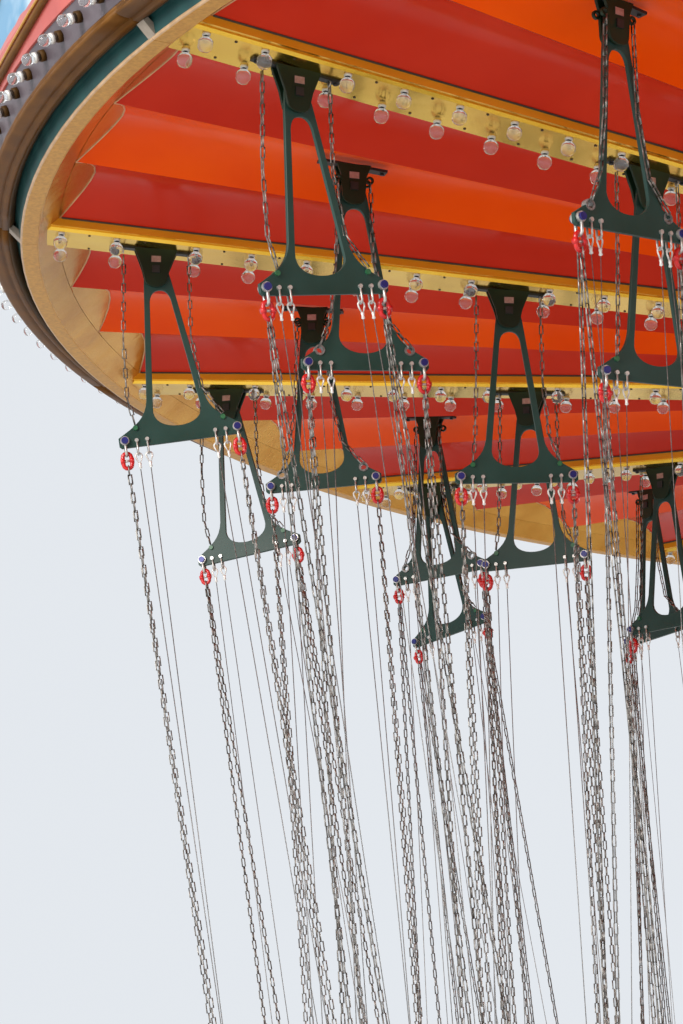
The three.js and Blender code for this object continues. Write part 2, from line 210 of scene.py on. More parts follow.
MATERIALS = {
    "green": surface("hanger_green", (0.012, 0.04, 0.03), (0.021, 0.06, 0.05), 0.45, grain=3,
                     bump=0.15, specular=0.3),
    # cheek: a darker copy of the hanger green; the darkness is painted shade for the bracket cheeks, which
    # stand in shadow
    "cheek": surface("cheek_green", (0.005, 0.017, 0.007), (0.009, 0.027, 0.012), 0.42, grain=4,
                     bump=0.15, specular=0.3),
    "black": surface("plate_black", (0.008, 0.009, 0.009), (0.016, 0.018, 0.018), 0.5),
    "label": surface("label_bare", (0.34, 0.2, 0.17), (0.46, 0.3, 0.26), 0.45, 0.2, grain=60),
    "navy": surface("bolt_navy", (0.01, 0.012, 0.11), (0.018, 0.022, 0.18), 0.35, 0.2),
    "pin_green": surface("pin_green", (0.01, 0.08, 0.03), (0.02, 0.13, 0.05), 0.4),
    "red_link": surface("coupling_red", (0.48, 0.006, 0.008), (0.66, 0.014, 0.014), 0.34, coat=0.2),
    "zinc": surface("zinc", (0.42, 0.41, 0.39), (0.64, 0.63, 0.6), 0.38, 0.7, grain=40),
    "chain": surface("chain_steel", (0.16, 0.145, 0.13), (0.42, 0.4, 0.37), 0.42, 0.7, grain=25),
    "ferrule": surface("ferrule", (0.66, 0.65, 0.61), (0.82, 0.81, 0.78), 0.4, 0.3, grain=50),
    "cable": surface("cable_steel", (0.16, 0.16, 0.16), (0.32, 0.31, 0.3), 0.4, 0.6, grain=90),
    "cove_red": surface("cove_red", (0.56, 0.026, 0.01), (0.64, 0.038, 0.014), 0.2, grain=1.2, bump=0.2,
                        bump_scale=2.2, bump_depth=0.01, specular=0.1),
    "cove_orange": surface("cove_orange", (0.86, 0.066, 0.001), (0.95, 0.1, 0.001), 0.2, grain=1.2,
                           bump=0.2, bump_scale=2.2, bump_depth=0.01, specular=0.08),
    "seam": surface("seam_dark", (0.03, 0.018, 0.01), (0.06, 0.035, 0.02), 0.6),
    "gold_side": surface("sweep_gold", (0.74, 0.32, 0.01), (0.84, 0.38, 0.018), 0.3, 0.2,
                         grain=3, coat=0.05),
    "gold_mirror": surface("mirror_gold", (0.8, 0.46, 0.045), (0.92, 0.59, 0.08), 0.2, 1.0, grain=2.5,
                           bump=0.12, bump_scale=5, bump_depth=0.02),
    "gold_wall": surface("wall_gold", (0.56, 0.26, 0.03), (0.68, 0.36, 0.06), 0.22, 0.7, grain=5,
                         bump=0.15, bump_scale=9, bump_depth=0.02),
    "gold_ring": surface("ring_gold", (0.56, 0.27, 0.04), (0.7, 0.37, 0.07), 0.36, 0.5, grain=60,
                         bump=0.3, bump_scale=130, specular=0.3),
    # A pale gold for thin strips along edges: a painted highlight where an edge catches the light
    "pale_edge": surface("pale_edge", (0.58, 0.36, 0.19), (0.72, 0.48, 0.28), 0.35, 0.3, grain=20),
    "strut": surface("strut_pale", (0.3, 0.25, 0.2), (0.42, 0.36, 0.29), 0.5, 0.1, grain=12),
    "teal": surface("recess_teal", (0.006, 0.05, 0.052), (0.014, 0.085, 0.082), 0.45, grain=6,
                    stretch=(1, 1, 0.3)),
    "bronze": surface("cornice_bronze", (0.125, 0.048, 0.006), (0.18, 0.076, 0.015), 0.42, grain=7,
                      stretch=(1, 1, 4), specular=0.12),
    # bronze_dark: a darker bronze. On the cornice's foot it is painted shade for the shadowed gap beside the
    # recess. On the band lamps' sockets it is their own dark brown
    "bronze_dark": surface("cornice_shade", (0.05, 0.024, 0.006), (0.08, 0.038, 0.01), 0.5, grain=7,
                           specular=0.1),
    "mauve": surface("band_mauve", (0.085, 0.068, 0.08), (0.135, 0.112, 0.128), 0.4, grain=6),
    "board_red": surface("board_red", (0.46, 0.065, 0.05), (0.56, 0.1, 0.075), 0.3, grain=2.5, coat=0.3),
    "sky": surface("panel_blue", (0.12, 0.3, 0.48), (0.8, 0.86, 0.88), 0.4, grain=2.2, bump=0.05),
    "cream": surface("cream", (0.74, 0.66, 0.5), (0.82, 0.76, 0.62), 0.6, grain=4),
    "canvas_red": surface("canvas_red", (0.42, 0.045, 0.03), (0.5, 0.07, 0.045), 0.75, grain=5, bump=0.4,
                          bump_scale=300),
    "chair_red": surface("chair_red", (0.4, 0.02, 0.015), (0.48, 0.03, 0.02), 0.28, grain=6, coat=0.4),
    "steel": surface("machined_steel", (0.36, 0.36, 0.37), (0.52, 0.52, 0.53), 0.32, 0.9, grain=30),
    "dark_red": surface("base_red", (0.16, 0.018, 0.014), (0.24, 0.03, 0.022), 0.4, grain=4, coat=0.2),
    "glass": lamp_glass(),
    "floor": surface("floor_pale", (0.6, 0.59, 0.57), (0.66, 0.65, 0.63), 0.8, grain=0.4, bump=0),
}


# Shapes

class Shape:
    """Points and faces gathered from simple forms. Each face keeps the name of its material."""

    def __init__(self):
        self.points = []
        self.faces = []
        self.finishes = []
        self.rounded = []
        self.count = 0

    def add(self, form, finish, rounded=False, matrix=None):
        points, faces = form
        points = np.asarray(points, float).reshape(-1, 3)
        if matrix is not None:
            turn = np.array(matrix)
            points = points @ turn[:3, :3].T + turn[:3, 3]
        self.points.append(points)
        self.faces.extend(tuple(int(i) + self.count for i in face) for face in faces)
        self.finishes.extend([finish] * len(faces))
        self.rounded.extend([rounded] * len(faces))
        self.count += len(points)

    def mesh(self, name):
        mesh = bpy.data.meshes.new(name)
        mesh.from_pydata(np.vstack(self.points).tolist(), [], self.faces)
        names = sorted(set(self.finishes))
        for finish in names:
            mesh.materials.append(MATERIALS[finish])
        mesh.polygons.foreach_set("material_index", [names.index(f) for f in self.finishes])
        mesh.polygons.foreach_set("use_smooth", self.rounded)
        mesh.update()
        return mesh


def tube(path, radius, sides=6, closed=False):
    """A round bar along a path, its section carried along without twist."""
    path = np.asarray(path, float)
    if closed:
        tangents = np.roll(path, -1, 0) - np.roll(path, 1, 0)
    else:
        tangents = np.gradient(path, axis=0)
    tangents /= np.linalg.norm(tangents, axis=1)[:, None]
    helper = np.eye(3)[np.argmin(np.abs(tangents).max(0))]
    normals = []
    normal = np.cross(tangents[0], helper)
    for tangent in tangents:
        normal = normal - tangent * (normal @ tangent)
        normal /= np.linalg.norm(normal)
        normals.append(normal)
    normals = np.array(normals)
    sides_of = np.cross(tangents, normals)
    angles = np.arange(sides) * TURN / sides
    points = (path[:, None] + radius * (np.cos(angles)[None, :, None] * normals[:, None]
              + np.sin(angles)[None, :, None] * sides_of[:, None]))
    rows = len(path)
    faces = []
    for i in range(rows if closed else rows - 1):
        j = (i + 1) % rows
        for a in range(sides):
            b = (a + 1) % sides
            faces.append((i * sides + a, i * sides + b, j * sides + b, j * sides + a))
    if not closed:
        faces.append(tuple(range(sides - 1, -1, -1)))
        faces.append(tuple((rows - 1) * sides + a for a in range(sides)))
    return points.reshape(-1, 3), faces


def box(size, centre=(0, 0, 0)):
    half = np.array(size) / 2
    corners = [(x, y, z) for x in (-1, 1) for y in (-1, 1) for z in (-1, 1)]
    faces = [(0, 1, 3, 2), (4, 6, 7, 5), (0, 4, 5, 1), (2, 3, 7, 6), (0, 2, 6, 4), (1, 5, 7, 3)]
    return np.array(corners) * half + np.array(centre), faces


def plate(outline, thickness, y=0.0, holes=(), bevel=0.0):
    """A flat plate in the XZ plane with any number of holes, its rims bevelled."""
    work = bmesh.new()
    for loop in (outline, *holes):
        corners = [work.verts.new((x, y - thickness / 2, z)) for x, z in loop]
        for i, corner in enumerate(corners):
            work.edges.new((corner, corners[(i + 1) % len(corners)]))
    bmesh.ops.triangle_fill(work, use_beauty=True, edges=work.edges[:])
    made = bmesh.ops.extrude_face_region(work, geom=work.faces[:])
    moved = [g for g in made["geom"] if isinstance(g, bmesh.types.BMVert)]
    bmesh.ops.translate(work, verts=moved, vec=(0, thickness, 0))
    bmesh.ops.recalc_face_normals(work, faces=work.faces[:])
    if bevel:
        rims = [e for e in work.edges if e.is_manifold and e.calc_face_angle() > 1.2
                and abs(e.verts[0].co.y - e.verts[1].co.y) < thickness / 2]
        bmesh.ops.bevel(work, geom=rims, offset=bevel, segments=1, affect="EDGES", profile=0.5)
    work.verts.index_update()
    points = [v.co[:] for v in work.verts]
    faces = [tuple(v.index for v in f.verts) for f in work.faces]
    work.free()
    return points, faces


def turned(profile, segments=96, start=0.0, span=TURN):
    """A profile of (radius, z) turned about Z, as a whole ring or as a closed segment of one."""
    profile = np.asarray(profile, float)
    whole = span > TURN - 1e-6
    columns = segments if whole else segments + 1
    angles = start + np.arange(columns) * span / segments
    points = np.stack([
        profile[None, :, 0] * np.cos(angles)[:, None],
        profile[None, :, 0] * np.sin(angles)[:, None],
        np.broadcast_to(profile[None, :, 1], (columns, len(profile))),
    ], 2)
    n = len(profile)
    faces = []
    for i in range(segments):
        j = (i + 1) % columns
        for a in range(n):
            b = (a + 1) % n
            faces.append((i * n + a, j * n + a, j * n + b, i * n + b))
    if not whole:
        faces.append(tuple(range(n)))
        faces.append(tuple(segments * n + a for a in range(n - 1, -1, -1)))
    return points.reshape(-1, 3), faces


def globe(radius, centre, segments=8, rings=6):
    """A round globe; its poles lie on Z."""
    points = [(0, 0, radius)]
    for i in range(1, rings):
        polar = pi * i / rings
        waist, height = radius * sin(polar), radius * cos(polar)
        for a in range(segments):
            turn = TURN * a / segments
            points.append((waist * cos(turn), waist * sin(turn), height))
    points.append((0, 0, -radius))
    faces = []
    for a in range(segments):
        b = (a + 1) % segments
        faces.append((0, 1 + a, 1 + b))
        for i in range(rings - 2):
            row = 1 + i * segments
            faces.append((row + a, row + segments + a, row + segments + b, row + b))
        last = 1 + (rings - 2) * segments
        faces.append((last + a, len(points) - 1, last + b))
    return np.array(points) + np.array(centre), faces


def cylinder(radius, start, end, sides=8):
    return tube([start, end], radius, sides)


def flat_ring(inner, outer, low, high):
    """A ring of rectangular section about Z, or a disc where its inner radius is 0."""
    return turned([(inner, low), (outer, low), (outer, high), (inner, high)], 64)


def hoop(radius, z, bar, steps):
    """A round bar bent to a ring about Z."""
    turns = np.linspace(0, TURN, steps + 1)[:-1]
    return tube([(radius * cos(t), radius * sin(t), z) for t in turns], bar, 6, True)


def upright_ring(centre, radius, bar, steps):
    """A round bar bent to a ring about an axis along X."""
    x, y, z = centre
    turns = np.linspace(0, TURN, steps + 1)[:-1]
    return tube([(x, y + radius * cos(t), z + radius * sin(t)) for t in turns], bar, 5, True)


def arc(centre, radius, first, last, steps):
    """Points of an arc in the XZ plane, by angles in degrees."""
    turns = np.radians(np.linspace(first, last, steps + 1))
    return [(centre[0] + radius * cos(t), centre[1] + radius * sin(t)) for t in turns]


def curve(a, b, c, d, steps):
    """Points of a cubic curve from a to d, pulled by b and c."""
    a, b, c, d = (np.array(p, float) for p in (a, b, c, d))
    out = []
    for t in np.linspace(0, 1, steps + 1):
        s = 1 - t
        out.append(tuple(s**3 * a + 3 * s * s * t * b + 3 * s * t * t * c + t**3 * d))
    return out


def mirrored(half):
    return list(half) + [(-x, z) for x, z in reversed(half) if abs(x) > 1e-9]


def place(mesh, name, body, slot, replaces=(), matrix=None):
    """Puts a mesh in the scene as a piece that rides on a body."""
    piece = bpy.data.objects.new(name, mesh)
    bpy.context.scene.collection.objects.link(piece)
    if matrix is not None:
        piece.matrix_world = matrix
    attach(piece, body)
    if replaces:
        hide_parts(*replaces)


def put(shape, name, body, slot, replaces=()):
    """Puts a shape in the scene as one piece of the same name."""
    place(shape.mesh(name), name, body, slot, replaces)


def sweep_z(r):
    return HANGER_PLANE_Z + SWEEP_SLOPE * (r - OUTER_ROW_R)


def spin(angle):
    return Matrix.Rotation(angle, 4, "Z")


def along(r, z=0.0, y=0.0):
    return Matrix.Translation((r, y, z))


# Hanger

SHOULDER_X = 0.197
SHOULDER_Z = -0.71
HANGER_PLATE = 0.018
BOLT_Z = -0.764
# A bolt's washer and nut: radius, nearer and farther face from the middle of the plate, finish
BOLT_HEAD = ((0.0205, 0.009, 0.0225, "zinc"), (0.0155, 0.0225, 0.031, "navy"))


def hanger_shape(pinned):
    """The flat A of the hanger, with bolts or open rings in its shoulders, about the pin."""
    head = arc((0, 0), 0.052, 90, 10, 6)
    flare = curve((0.13, -0.59), (0.146, -0.672), (0.19, -0.697), (BAR_HALF, -0.748), 8)
    outline = mirrored(head + [(0.062, -0.05)] + flare + [
        (BAR_HALF, -0.785),
        (BAR_HALF - 0.01, -BAR_BOTTOM),
    ])
    throat = curve((0, -0.088), (0.028, -0.088), (0.043, -0.108), (0.048, -0.14), 5)
    foot = curve((0.106, -0.63), (0.117, -0.69), (0.066, -0.722), (0, -0.722), 8)
    holes = [mirrored(throat + foot)]
    if not pinned:
        holes += [arc((side * SHOULDER_X, SHOULDER_Z), 0.0225, 0, 330, 11) for side in (-1, 1)]
    shape = Shape()
    shape.add(plate(outline, HANGER_PLATE, holes=holes, bevel=0.0016), "green")
    for side in (-1, 1):
        end = side * CHAIN_SPACING
        for face in (-1, 1):
            for radius, near, far, finish in BOLT_HEAD:
                nut = cylinder(radius, (end, face * near, BOLT_Z), (end, face * far, BOLT_Z), 12)
                shape.add(nut, finish)
        x = side * SHOULDER_X
        if pinned:
            shape.add(cylinder(0.0115, (x, -0.017, SHOULDER_Z), (x, 0.017, SHOULDER_Z), 10), "pin_green")
        else:
            rim = arc((x, SHOULDER_Z), 0.0228, 0, 330, 11)
            bore = arc((x, SHOULDER_Z), 0.0145, 0, 315, 7)
            shape.add(plate(rim, 0.026, 0, [bore]), "cable")
    return shape


def bow(x, top, bottom, half, radius, steps=6, sides=6):
    """A shackle bow: two legs and a round foot, in the YZ plane."""
    legs = [(-half, top), (-half, bottom + half)]
    foot = arc((0, bottom + half), half, 180, 360, steps)[1:-1]
    path = legs + foot + [(half, bottom + half), (half, top)]
    return tube([(x, across, z) for across, z in path], radius, sides)


def oval(x, top, bottom, half, radius):
    """A closed oval link in the XZ plane, hanging between two heights."""
    upper = arc((0, top - half), half, 0, 180, 6)
    lower = arc((0, bottom + half), half, 180, 360, 6)
    return tube([(x + across, 0, z) for across, z in upper + lower], radius, 6, True)


LINK_TOP = -0.818
LINK_BOTTOM = -0.888
CABLE_HEADS = (0.153, 0.2)
CABLE_TOP = -0.896


def teardrop(x, top, bottom, half, radius):
    """A closed thimble loop, round above and pointed below."""
    path = arc((0, top - half), half, -25, 205, 6) + [(0, bottom)]
    return tube([(x + across, 0, z) for across, z in path], radius, 4, True)


def fittings_shape():
    """Shackles, red couplings, thimbles and ferrules under the bar, about the pin."""
    shape = Shape()
    waist = (LINK_TOP + LINK_BOTTOM) / 2
    sleeve = [(0, 0.0), (0.008, 0.005), (0.0055, 0.015), (0.008, 0.026), (0, 0.032)]
    for side in (-1, 1):
        end = side * CHAIN_SPACING
        shape.add(bow(end, BOLT_Z, -0.831, 0.0163, 0.0065), "zinc", True)
        shape.add(oval(end, LINK_TOP, LINK_BOTTOM, 0.019, 0.0095), "red_link", True)
        for turn in (-1, 1):
            boss = cylinder(0.013, (end + turn * 0.03, 0, waist), (end + turn * 0.012, 0, waist), 10)
            shape.add(boss, "red_link", True)
        shape.add(cylinder(0.006, (end - 0.015, 0, waist), (end + 0.015, 0, waist), 6), "zinc", True)
        for x in (side * CABLE_HEADS[0], side * CABLE_HEADS[1]):
            shape.add(cylinder(0.009, (x, -0.019, -0.767), (x, 0.019, -0.767), 8), "zinc")
            shape.add(bow(x, -0.765, -0.832, 0.013, 0.0045, 4, 5), "zinc", True)
            shape.add(teardrop(x, -0.823, -0.878, 0.0145, 0.0042), "ferrule", True)
            shape.add(turned([(r, CABLE_TOP + z) for r, z in sleeve], 6), "ferrule", True, along(x))
    return shape


# Chains

CHAIN_PITCH = 0.042
CHAIN_WIRE = 0.0038
LINK_HALF = 0.0076
CABLE_WIRE = 0.0022


def link_form():
    """One chain link along Z, as a closed bar of few sides."""
    half, reach = LINK_HALF, CHAIN_PITCH / 2
    path = [(half, 0, -reach), (half, 0, reach), (-half, 0, reach), (-half, 0, -reach)]
    return tube(path, CHAIN_WIRE, 3, True)


def chain_form(start, end):
    """A straight chain whose links turn by a quarter from one to the next."""
    start, end = np.array(start, float), np.array(end, float)
    length = np.linalg.norm(end - start)
    count = max(1, round(length / CHAIN_PITCH))
    down = (end - start) / length
    side = np.cross(down, (1.0, 0.0, 0.0))
    side /= np.linalg.norm(side)
    other = np.cross(side, down)
    points, faces = link_form()
    grow = length / count / CHAIN_PITCH
    all_points, all_faces = [], []
    for i in range(count):
        across = other if i % 2 else side
        middle = start + down * (i + 0.5) * length / count
        basis = np.stack([across, np.cross(down, across), down * grow])
        all_points.append(points @ basis + middle)
        all_faces.extend(tuple(v + i * len(points) for v in face) for face in faces)
    return np.vstack(all_points), all_faces


def chains_shape(pin_z):
    """The chain pairs and the thin cables of one chair, about the pin."""
    shape = Shape()
    arm_top = PAN_Z + ARM_RISE - pin_z
    for side in (-1, 1):
        x = side * CHAIN_SPACING
        for y, foot_y in ((0.006, CHAIR_FRONT - 0.01), (-0.006, CHAIR_HEEL + 0.01)):
            top = (x, y, LINK_BOTTOM + 0.012)
            shape.add(chain_form(top, (x, foot_y, arm_top + 0.012)), "chain", True)
        for cable_x, foot_y in zip(CABLE_HEADS, (CHAIR_HEEL + 0.04, CHAIR_FRONT - 0.04)):
            foot = (x - side * 0.012, foot_y, arm_top)
            shape.add(tube([(side * cable_x, 0, CABLE_TOP + 0.005), foot], CABLE_WIRE, 4), "cable", True)
    return shape


# Chair

def shell_form():
    """The moulded seat as a sheet of even thickness, its back and front rolled over."""
    profile = [(0.212, -0.045), (0.214, -0.018), (0.198, 0.0), (0.12, -0.004), (0.02, -0.014),
               (-0.08, -0.012), (-0.135, 0.012), (-0.163, 0.065), (-0.176, 0.15), (-0.186, 0.25),
               (-0.196, 0.35), (-0.208, 0.392), (-0.226, 0.385)]
    spans = np.linspace(-1, 1, 11)
    width = 0.236
    thickness = 0.011
    points = []
    for layer in (0, 1):
        for i, (y, z) in enumerate(profile):
            before, after = profile[max(i - 1, 0)], profile[min(i + 1, len(profile) - 1)]
            along_y, along_z = after[0] - before[0], after[1] - before[1]
            size = hypot(along_y, along_z)
            normal = (along_z / size, -along_y / size)
            for s in spans:
                lift = 0.028 * abs(s) ** 3 - layer * thickness
                points.append((s * width, y + normal[0] * lift, z + normal[1] * lift))
    rows, columns = len(profile), len(spans)

    def at(layer, i, j):
        return layer * rows * columns + i * columns + j

    faces = []
    for i in range(rows - 1):
        for j in range(columns - 1):
            quad = [(i, j), (i, j + 1), (i + 1, j + 1), (i + 1, j)]
            faces.append(tuple(at(0, *q) for q in quad))
            faces.append(tuple(at(1, *q) for q in reversed(quad)))
    edge = [(0, j) for j in range(columns)] + [(i, columns - 1) for i in range(1, rows)]
    edge += [(rows - 1, j) for j in range(columns - 2, -1, -1)] + [(i, 0) for i in range(rows - 2, 0, -1)]
    for q, r in zip(edge, edge[1:] + edge[:1]):
        faces.append((at(0, *q), at(1, *q), at(1, *r), at(0, *r)))
    return points, faces


def chair_shape(pin_z):
    """Seat shell, arm panels, rails and lap bar, about the pin."""
    shape = Shape()
    level = PAN_Z - pin_z
    lift = along(0, level)
    shape.add(shell_form(), "chair_red", True, lift)
    outline = [(CHAIR_HEEL + 0.02, -0.045), (CHAIR_FRONT - 0.03, -0.045), (CHAIR_FRONT, -0.015),
               (CHAIR_FRONT, ARM_RISE - 0.03), (CHAIR_FRONT - 0.02, ARM_RISE - 0.012),
               (CHAIR_HEEL + 0.02, ARM_RISE - 0.012), (CHAIR_HEEL, ARM_RISE - 0.03), (CHAIR_HEEL, -0.02)]
    gap = [(-0.17, 0.05), (0.13, 0.05), (0.15, 0.07), (0.15, 0.145), (0.13, 0.165), (-0.17, 0.165),
           (-0.19, 0.145), (-0.19, 0.07)]
    panel = plate(outline, 0.016, 0, [gap])
    quarter = Matrix.Rotation(pi / 2, 4, "Z")
    for side in (-1, 1):
        x = side * CHAIN_SPACING
        shape.add(panel, "chair_red", False, lift @ along(x) @ quarter)
        rail = [(x, CHAIR_FRONT - 0.012, -0.02), (x, CHAIR_FRONT - 0.01, ARM_RISE - 0.03),
                (x, CHAIR_FRONT - 0.04, ARM_RISE), (x, CHAIR_HEEL + 0.04, ARM_RISE),
                (x, CHAIR_HEEL + 0.01, ARM_RISE - 0.03), (x, CHAIR_HEEL + 0.012, -0.02)]
        shape.add(tube(rail, 0.011, 8), "gold_side", True, lift)
        for y in (CHAIR_FRONT - 0.01, CHAIR_HEEL + 0.01):
            shape.add(upright_ring((x, y, ARM_RISE + 0.006), 0.014, 0.005, 8), "zinc", True, lift)
    right = [(0.19, 0.262, 0.008), (0.235, 0.235, 0.005), (CHAIN_SPACING, 0.17, 0)]
    left = [(-x, y, z) for x, y, z in reversed(right)]
    shape.add(tube([(x, y, ARM_RISE + z) for x, y, z in left + right], 0.012, 8), "zinc", True, lift)
    strap = [(0, 0.262, ARM_RISE + 0.008), (0, 0.25, 0.1), (0, 0.212, 0.0)]
    shape.add(tube(strap, 0.009, 6), "black", True, lift)
    for x in (-0.12, 0.12):
        shape.add(box((0.03, 0.34, 0.022), (x, 0.015, -0.034)), "steel", False, lift)
    return shape


def joint_of(body):
    return next(j for j in frame["joints"] if j["child"] == body)


def make_swings():
    """Every hanger, its chains and its chair. Rows share their meshes."""
    for row in ("outer", "middle", "inner"):
        bodies = sorted(b for b in frame["bodies"] if b.startswith("swing_" + row))
        pin_z = joint_of(bodies[0])["pos_m"][2]
        shapes = {"hanger_": hanger_shape(row != "middle"), "fittings_": fittings_shape(),
                  "chains_": chains_shape(pin_z), "chair_": chair_shape(pin_z)}
        meshes = {kind: shape.mesh(kind + row) for kind, shape in shapes.items()}
        lean = Matrix.Rotation(LEANS[row], 4, "Y")
        for body in bodies:
            x, y, z = joint_of(body)["pos_m"]
            upright = Matrix.Translation((x, y, z)) @ spin(atan2(y, x))
            matrix = upright @ lean
            tail = body[len("swing_"):]
            for kind, mesh in meshes.items():
                place(mesh, kind + tail, body, "hanger_green", [body], matrix)
            make_safety_chains(tail, row, upright, lean)


LUG_X = 0.07
LUG_Z = 0.036
EYE_X = 0.146
# How a slack chain hangs, nearly plumb at first, as shares of the way across and down
SLACK = ((0.0, 0.0), (0.1, 0.5), (0.42, 0.84), (1.0, 1.0))
SAFETY_FOOT_Z = -0.695


def make_safety_chains(tail, row, upright, lean):
    """Two loose chains from the bracket to the shoulders of the hanger, across its hinge."""
    shape = Shape()
    for side in (-1, 1):
        top = np.array((side * EYE_X, 0.0, PIN_DROP - 0.03))
        if row == "middle":
            top = np.array((side * LUG_X, 0.028, LUG_Z - 0.012))
        foot = np.array(lean @ Vector((side * SHOULDER_X, 0.018, SAFETY_FOOT_Z)))
        route = [top + (foot - top) * (across, across, down) for across, down in SLACK]
        for start, end in zip(route, route[1:]):
            shape.add(chain_form(start, end), "chain", True)
    name = "safety_chains_" + tail
    piece = bpy.data.objects.new(name, shape.mesh(name))
    bpy.context.scene.collection.objects.link(piece)
    piece.matrix_world = upright
    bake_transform(piece)


# Sweeps and brackets

def sweep_casing(shape):
    """One gold casing: sides, and a mirror-gold underside whose middle plank stands proud of two ledges."""
    lip, step = 0.118, 0.014  # half the width between the ledges, and how far they lie back
    section = [(-SWEEP_HALF, SWEEP_DEPTH), (-SWEEP_HALF, step), (-lip, step), (-lip + 0.008, 0.0),
               (lip - 0.008, 0.0), (lip, step), (SWEEP_HALF, step), (SWEEP_HALF, SWEEP_DEPTH)]
    finishes = ["gold_side", "gold_mirror", "gold_mirror", "gold_mirror", "gold_mirror", "gold_mirror",
                "gold_side", "seam"]
    stations = np.linspace(SWEEP_ROOT_R - 0.05, SWEEP_TIP_R + 0.052, 6)
    rings = [[(r, y, sweep_z(r) + z) for y, z in section] for r in stations]
    n = len(section)
    for i in range(len(rings) - 1):
        for a in range(n):
            b = (a + 1) % n
            quad = [rings[i][a], rings[i][b], rings[i + 1][b], rings[i + 1][a]]
            shape.add((quad, [(0, 1, 2, 3)]), finishes[a])
    shape.add((rings[0], [tuple(range(n - 1, -1, -1))]), "gold_side")
    shape.add((rings[-1], [tuple(range(n))]), "gold_side")


def seam_strips(shape):
    """Thin dark strips where the coves meet a casing."""
    for side in (-1, 1):
        y = side * (SWEEP_HALF + 0.003)
        path = [(r, y, sweep_z(r) + COVE_EDGE) for r in (COVE_INNER_R, CEILING_OUTER_R - 0.01)]
        shape.add(tube(path, 0.005, 4), "seam")


LAMP_R = 0.033
LAMP_SIDE = 0.092
LAMP_SPACING = 0.249
LAMP_CLEAR = 0.178  # from the middle of a hanger's bar to the nearest lamps
LAMP_INNER_R = 1.5
BAND_LAMP_R = 0.027
BAND_LAMPS = 192
HUB_R = 0.76
TIE_RING = (5.27, 5.35, 6.34, 6.4)


def lamp(shape, matrix):
    """A clear globe lamp close under a plank, along local -Z, with its neck and dark socket."""
    shape.add(cylinder(0.016, (0, 0, 0.002), (0, 0, -0.01), 6), "ferrule", True, matrix)
    shape.add(cylinder(0.011, (0, 0, -0.01), (0, 0, -0.021), 5), "black", True, matrix)
    shape.add(globe(LAMP_R, (0, 0, -0.046), 8, 5), "glass", True, matrix)


# A band lamp's socket: radius, start and end along local Z, and finish of each step
SOCKET = ((0.025, 0.002, -0.02, "bronze_dark"), (0.019, -0.02, -0.034, "seam"),
          (0.023, -0.034, -0.048, "ferrule"))


def socket_lamp(shape, matrix):
    """A globe lamp on a stepped socket that stands out along local -Z."""
    for radius, near, far, finish in SOCKET:
        shape.add(cylinder(radius, (0, 0, near), (0, 0, far), 8), finish, True, matrix)
    shape.add(globe(BAND_LAMP_R, (0, 0, -0.072)), "glass", True, matrix)


def lamp_radii():
    """Where the pairs of lamps stand along a sweep, clear of the bars of both its hangers."""
    outer = OUTER_ROW_R + LAMP_CLEAR
    between = np.linspace(OUTER_ROW_R - LAMP_CLEAR, INNER_ROW_R + LAMP_CLEAR, 6)
    inner = np.arange(INNER_ROW_R - LAMP_CLEAR, LAMP_INNER_R, -LAMP_SPACING)
    return [outer + LAMP_SPACING, outer, *between, *inner]


def make_sweeps():
    casings, lamps = Shape(), Shape()
    single, single_lamps = Shape(), Shape()
    sweep_casing(single)
    seam_strips(single)
    tilt = Matrix.Rotation(-atan(SWEEP_SLOPE), 4, "Y")
    for r in lamp_radii():
        for side in (-1, 1):
            lamp(single_lamps, along(r, sweep_z(r), side * LAMP_SIDE) @ tilt)
            screw_r = r - LAMP_SPACING / 2
            screw = along(screw_r, sweep_z(screw_r), side * LAMP_SIDE)
            single.add(cylinder(0.006, (0, 0, 0.002), (0, 0, -0.003), 6), "seam", False, screw)
    for k in range(SWEEPS):
        add_shape(casings, single, spin(k * PITCH))
        add_shape(lamps, single_lamps, spin(k * PITCH))
    put(casings, "sweep_casings", "canopy", "sweep_gold", ["sweep_frame"])
    put(lamps, "sweep_lamps", "canopy", "sweep_gold")
    steel = Shape()
    hub_low = sweep_z(SWEEP_ROOT_R) - 0.06
    steel.add(flat_ring(HUB_R, SWEEP_ROOT_R, hub_low, hub_low + 0.3), "gold_side")
    steel.add(flat_ring(*TIE_RING), "dark_red")
    put(steel, "sweep_steel", "canopy", "sweep_gold", ["sweep_frame"])


def add_shape(shape, other, matrix):
    """Adds a turned copy of a whole shape."""
    turn = np.array(matrix)
    shape.points.append(np.vstack(other.points) @ turn[:3, :3].T + turn[:3, 3])
    shape.faces.extend(tuple(i + shape.count for i in face) for face in other.faces)
    shape.finishes.extend(other.finishes)
    shape.rounded.extend(other.rounded)
    shape.count += other.count


